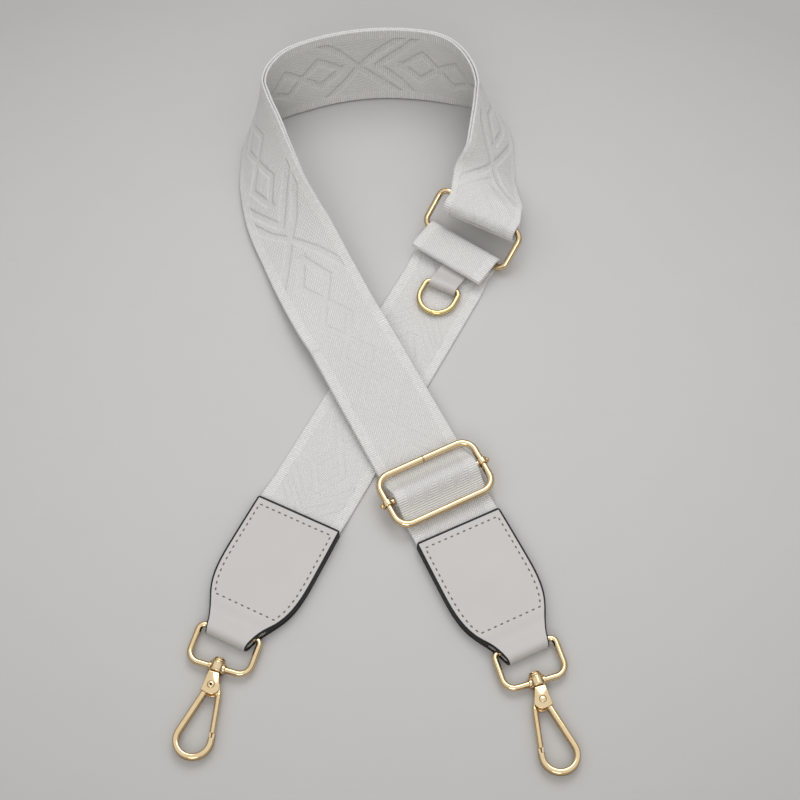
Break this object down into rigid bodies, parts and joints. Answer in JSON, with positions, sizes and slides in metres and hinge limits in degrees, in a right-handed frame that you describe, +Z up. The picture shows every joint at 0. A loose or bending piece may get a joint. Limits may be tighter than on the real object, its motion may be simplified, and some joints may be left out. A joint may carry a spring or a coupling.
{
  "type": "bag strap",
  "caption": "Wide webbing bag strap laid in a crossed loop, with leather end tabs, swivel snap hooks, sliding length adjuster, rectangular ring and D-ring.",
  "frame": {"origin": "on the table, under the middle of the laid-out strap", "axes": "+Z up from the table, +Y from the snap hooks towards the top of the loop, +X to the right in the picture"},
  "size_m": [0.1567, 0.3561, 0.0382],
  "materials": {
    "webbing": "white woven webbing with a raised geometric pattern",
    "leather": "off-white smooth leather with black painted edges",
    "thread": "dark olive sewing thread",
    "gold": "polished pale gold plating",
    "spring_steel": "bare spring wire"
  },
  "bodies": {
    "strap": {"long_webbing": "webbing", "short_webbing": "webbing", "left_end_tab": "leather", "right_end_tab": "leather", "left_tab_stitching": "thread", "right_tab_stitching": "thread", "d_ring_keeper": "leather"},
    "slider": {"slider_bar": "gold", "sewn_end_loop": "webbing", "threaded_webbing": "webbing"},
    "slider_frame": {"slider_frame": "gold"},
    "ring": {"ring": "gold"},
    "d_ring": {"d_ring": "gold"},
    "left_bail": {"left_bail": "gold"},
    "left_hook": {"left_hook": "gold", "left_swivel_stud": "gold", "left_gate_rivet": "gold", "left_gate_spring": "spring_steel"},
    "left_gate": {"left_gate": "gold"},
    "right_bail": {"right_bail": "gold"},
    "right_hook": {"right_hook": "gold", "right_swivel_stud": "gold", "right_gate_rivet": "gold", "right_gate_spring": "spring_steel"},
    "right_gate": {"right_gate": "gold"}
  },
  "joints": [
    {"name": "slider_travel", "type": "slide", "parent": "strap", "child": "slider", "axis": [-0.4505, 0.8918, 0.0419], "range_m": [-0.005, 0.06]},
    {"name": "slider_frame_play", "type": "slide", "parent": "slider", "child": "slider_frame", "axis": [-0.4505, 0.8918, 0.0419], "range_m": [-0.0012, 0.0012]},
    {"name": "ring_rock", "type": "hinge", "parent": "strap", "child": "ring", "pos_m": [0.03827, 0.07092, 0.0038], "axis": [0.8062, -0.59, -0.0436], "range_deg": [-2.5, 2.5]},
    {"name": "d_ring_lift", "type": "hinge", "parent": "strap", "child": "d_ring", "pos_m": [0.02912, 0.04831, 0.004], "axis": [-0.8894, 0.4571, 0], "range_deg": [0, 130]},
    {"name": "left_bail_fold", "type": "hinge", "parent": "strap", "child": "left_bail", "pos_m": [-0.05839, -0.11982, 0.00305], "axis": [0.9563, -0.2924, 0], "range_deg": [-90, 90]},
    {"name": "left_swivel", "type": "hinge", "parent": "left_bail", "child": "left_hook", "pos_m": [-0.06301, -0.13493, 0.00305], "axis": [0.2924, 0.9563, 0], "continuous": true},
    {"name": "left_gate_open", "type": "hinge", "parent": "left_hook", "child": "left_gate", "pos_m": [-0.06472, -0.14257, 0.00305], "axis": [0, 0, -1], "range_deg": [0, 20], "stiffness_Nm_per_rad": 0.03, "springref_deg": -17.19},
    {"name": "right_bail_fold", "type": "hinge", "parent": "strap", "child": "right_bail", "pos_m": [0.0584, -0.1257, 0.00305], "axis": [0.9563, 0.2924, 0], "range_deg": [-90, 90]},
    {"name": "right_swivel", "type": "hinge", "parent": "right_bail", "child": "right_hook", "pos_m": [0.06302, -0.14081, 0.00305], "axis": [-0.2924, 0.9563, 0], "continuous": true},
    {"name": "right_gate_open", "type": "hinge", "parent": "right_hook", "child": "right_gate", "pos_m": [0.06473, -0.14845, 0.00305], "axis": [0, 0, 1], "range_deg": [0, 20], "stiffness_Nm_per_rad": 0.03, "springref_deg": -17.19}
  ]
}
